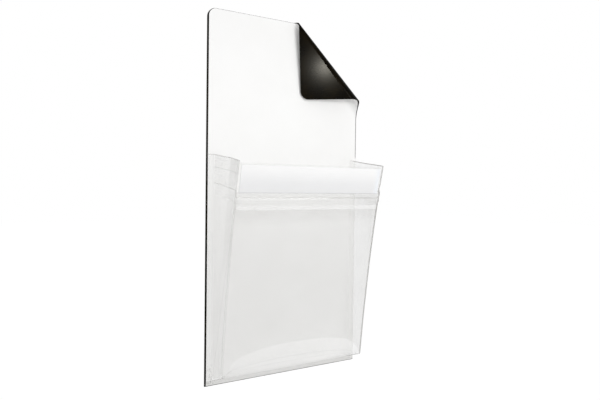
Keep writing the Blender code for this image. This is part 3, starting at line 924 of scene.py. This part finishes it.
gusset_films = {
    "left": vinyl_finish("clear vinyl left gusset", gusset_haze, gusset_milk),
    "right": vinyl_finish("clear vinyl right gusset", right_gusset_haze, gusset_milk),
}
hem_film = vinyl_finish("clear vinyl side hem", side_hem_haze, side_hem_milk)
swing_ends = (FILM_ON_SHEET, SWING_HIGH), (rim[-1, 0], SWING_HIGH), root_foot, front_reach
for side, sign in SIDES.items():
    mirror = np.array((sign, 1.0, 1.0))
    ends = [in_pocket(sign * POCKET_HALF, np.array(spot)).tolist() for spot in swing_ends]
    points = gusset_points(back_part, 0.0) * mirror
    gusset = film_piece(f"clear_gusset_{side}", points, gusset_map(back_part))
    gusset.data.materials.append(gusset_films[side])
    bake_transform(gusset)
    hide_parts(f"gusset_{side}")

    points = gusset_points(front_part, 0.0) * mirror
    edge = film_piece(f"clear_gusset_edge_{side}", points, gusset_map(front_part))
    edge.data.materials.append(gusset_films[side])
    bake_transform(edge)

    points = gusset_points(side_hem, FILM + FILM_GAP) * mirror
    hem = film_piece(f"clear_side_hem_{side}", points, gusset_map(side_hem))
    hem.data.materials.append(hem_film)
    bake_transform(hem)
    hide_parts(f"gusset_hem_{side}")


# Seals. The pocket's margins lie flat on the sheet down both sides and along its foot, and at
# each front corner the two films are sealed into a narrow standing seam.
SEAM_TOP, SEAM_FOOT = MOUTH_HIGH - 0.001, FOLD_HIGH + 0.004
SEAM_WIDE = 0.004
FLANGE_BACK = FACE_FRONT + FILM_GAP
FLANGE_FRONT = FLANGE_BACK + FILM
FLANGE_INSET = 0.0004
FLANGE_OUT = HALF_WIDE - FLANGE_INSET
SIDE_FLANGE_X = (FRONT_HALF + FILM_GAP, FLANGE_OUT)
SIDE_FLANGE_Z = (FOOT + FLANGE_HIGH + FILM_GAP, FOOT + MOUTH_BACK_HIGH)
FOOT_FLANGE_X = (-FLANGE_OUT, FLANGE_OUT)
FOOT_FLANGE_Z = (FOOT + FLANGE_INSET, FOOT + FLANGE_HIGH - FILM_GAP)

# Places on the flanges, out from the sheet's middle or up it
INNER_EDGE, BARE_MARGIN, FOOT_CRUMPLED = (0.1113, 0.1120), (0.1180, 0.1187), (0.106, 0.112)
TOP_EDGE, SIDE_CRUMPLED, UPPER_EDGE = (0.0568, 0.0574), (-0.2300, -0.2150), (-0.2417, -0.2411)

# Noise scales of the streaks along the side seals and along the foot's
ALONG_SIDE, ALONG_FOOT = (700.0, 14.0, 1.0), (14.0, 700.0, 1.0)


def seam_skin():
    """Points of the right seam, and its depths and heights: a strip SEAM_WIDE wide, from the front
    film's outside back along the gusset, that wavers as the front's edge does."""
    height = np.linspace(SEAM_TOP, SEAM_FOOT, 90)[:, None]
    deep = front_depth(height) + FILM / 2 - SEAM_WIDE * np.linspace(1, 0, 7)
    spot = np.stack(np.broadcast_arrays(deep, height), -1)
    out = POCKET_HALF + FILM + FILM_GAP + edge_wave(MOUTH_HIGH - spot[..., 1])
    return in_pocket(out, spot), spot


def streaked(flat, stretch):
    """Streaks of 0 to 1, from a noise that is stretched along the seal."""
    return flat.noise(1.0, 2.0, stretch=stretch).rise(0.35, 0.70)


def seam_haze(flat):
    """The seam is hazy in streaks along it."""
    return 0.045 + streaked(flat, ALONG_SIDE) * 0.05


def seam_milk(flat):
    """The seam's streaks are white."""
    return 0.35 + streaked(flat, ALONG_SIDE) * 0.5


points, spot = seam_skin()
seam_film = vinyl_finish("clear vinyl seam", seam_haze, seam_milk)
for side, sign in SIDES.items():
    seam = film_piece(f"clear_seam_{side}", points * np.array((sign, 1.0, 1.0)), spot)
    seam.data.materials.append(seam_film)
    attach(seam, "front")
    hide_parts(f"corner_seam_{side}")


def crumpled(flat):
    """Small blotches of 0 to 1, where the film is crushed."""
    return flat.noise(380.0, 2.0).rise(0.50, 0.58)


def flange_haze(flat):
    """The right flange is almost clear. Fine streaks run up the left one, its inner and top edges
    are darker, its foot is crumpled, and it is clear over the rubber's bare margin."""
    x, z = split_map(flat)
    left = 1 - x.rise(-0.05, 0.05)
    crumple = (1 - z.rise(*SIDE_CRUMPLED)) * crumpled(flat)
    inner_edge = 1 - x.size().rise(*INNER_EDGE)
    edges = z.rise(*TOP_EDGE) * 0.20 + inner_edge * 0.03 + crumple * 0.09
    bare = (0 - x).rise(*BARE_MARGIN)
    haze = 0.001 + streaked(flat, ALONG_SIDE) * (0.003 + left * 0.030) + left * (0.029 + edges)
    return haze * (1 - bare * 0.92)


def flange_milk(flat):
    """The side flanges' streaks are white."""
    return 0.2 + streaked(flat, ALONG_SIDE) * 0.5


flange_film = vinyl_finish("clear vinyl side flange", flange_haze, flange_milk)
x, z = np.meshgrid(np.linspace(*SIDE_FLANGE_X, 13), np.linspace(*SIDE_FLANGE_Z, 60))
for side, sign in SIDES.items():
    flange = upright_plate(f"clear_side_flange_{side}", sign * x, z, FLANGE_FRONT, FLANGE_BACK)
    flange.data.materials.append(flange_film)
    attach(flange, "backing")
    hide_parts(f"side_flange_{side}")


def foot_haze(flat):
    """Streaks run along the foot flange, its upper edge is darker and its left end crumpled."""
    x, z = split_map(flat)
    crumple = (0 - x).rise(*FOOT_CRUMPLED) * crumpled(flat)
    return 0.088 + crumple * 0.12 + streaked(flat, ALONG_FOOT) * 0.05 + z.rise(*UPPER_EDGE) * 0.07


def foot_milk(flat):
    """The foot flange's streaks are white."""
    return streaked(flat, ALONG_FOOT) * 0.5


x, z = np.meshgrid(np.linspace(*FOOT_FLANGE_X, 60), np.linspace(*FOOT_FLANGE_Z, 7))
foot_flange = upright_plate("clear_bottom_flange", x, z, FLANGE_FRONT, FLANGE_BACK)
foot_flange.data.materials.append(vinyl_finish("clear vinyl foot flange", foot_haze, foot_milk))
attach(foot_flange, "backing")
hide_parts("bottom_flange")


# Studio. A pale floor well below the hung sheet, an even white surround, one broad soft lamp at
# the right, and one small lamp whose mirror image on the flap is its highlight. Rays pass up to
# 32 skins of clear film.
FLOOR_Z, FLOOR_REACH = -0.62, 9.0
FLOOR_GLOW, FLOOR_SEEN = 1.09, 0.85
SURROUND = 0.60
WHITE_LIGHT = (1.0, 1.0, 1.0, 1.0)
FLAP_SPOT = Vector((0.0530, -0.0177, 0.1886))
SHINE_WAY = Vector((0.0185, -0.9984, 0.0534))
SMALL_LAMP_AWAY = 1.5
BROAD_LAMP_PLACE = (1.20, -2.75, 0.30)
FILM_SKINS = 32


def pale_finish():
    """A pale floor, which the camera sees mostly as a white glow."""
    pale = (0.90, 0.90, 0.90, 1.0)
    material, flat = new_finish("pale floor")
    diffuse = flat.node("ShaderNodeBsdfDiffuse", {}, {"Color": pale})
    glow = flat.node("ShaderNodeEmission", {}, {"Color": WHITE_LIGHT, "Strength": FLOOR_GLOW})
    seen = flat.node("ShaderNodeLightPath", output="Is Camera Ray")
    both = flat.node("ShaderNodeMixShader", {}, {0: seen * FLOOR_SEEN, 1: diffuse, 2: glow})
    flat.node("ShaderNodeOutputMaterial", {}, {"Surface": both})
    return material


steps = np.linspace(-FLOOR_REACH, FLOOR_REACH, 7)
x, y = np.meshgrid(steps, steps)
points = np.stack([x, y, np.full_like(x, FLOOR_Z)], -1).reshape(-1, 3)
faces = grid_faces(len(steps), len(steps))[:, ::-1]
floor_mesh = bpy.data.meshes.new("floor")
floor_mesh.from_pydata(points.tolist(), [], faces.tolist())
floor_mesh.uv_layers.new(name="flat")
floor_mesh.materials.append(pale_finish())
floor = bpy.data.objects.new("floor", floor_mesh)
bpy.context.scene.collection.objects.link(floor)

world = bpy.data.worlds.new("surround")
world.use_nodes = True
world.node_tree.nodes.clear()
surround = Wire(world.node_tree, None)
path = surround.node("ShaderNodeLightPath").socket.node
seen, mirrored, through = (
    Wire(world.node_tree, path.outputs[name])
    for name in ("Is Camera Ray", "Is Glossy Ray", "Is Transmission Ray"))
white_seen = seen.most(mirrored).most(through)
sky = surround.node("ShaderNodeBackground", {}, {
    "Color": WHITE_LIGHT, "Strength": SURROUND + white_seen * (1.0 - SURROUND)})
surround.node("ShaderNodeOutputWorld", {}, {"Surface": sky})
bpy.context.scene.world = world


def add_lamp(name, place, target, size, power):
    """A round area lamp that faces a point, with its width in metres and power in watts."""
    lamp = bpy.data.objects.new(name, bpy.data.lights.new(name, "AREA"))
    lamp.data.shape = "DISK"
    lamp.data.size = size
    lamp.data.energy = power
    lamp.location = place
    lamp.rotation_mode = "QUATERNION"
    lamp.rotation_quaternion = (Vector(target) - Vector(place)).to_track_quat("-Z", "Y")
    bpy.context.scene.collection.objects.link(lamp)


small_place = FLAP_SPOT + SMALL_LAMP_AWAY * SHINE_WAY
add_lamp("small lamp", small_place, FLAP_SPOT, size=0.04, power=2.60)
add_lamp("broad lamp", BROAD_LAMP_PLACE, (0.0, 0.0, 0.0), size=1.2, power=25.2)

scene = bpy.context.scene
scene.view_settings.view_transform = "Standard"
scene.cycles.transparent_max_bounces = FILM_SKINS
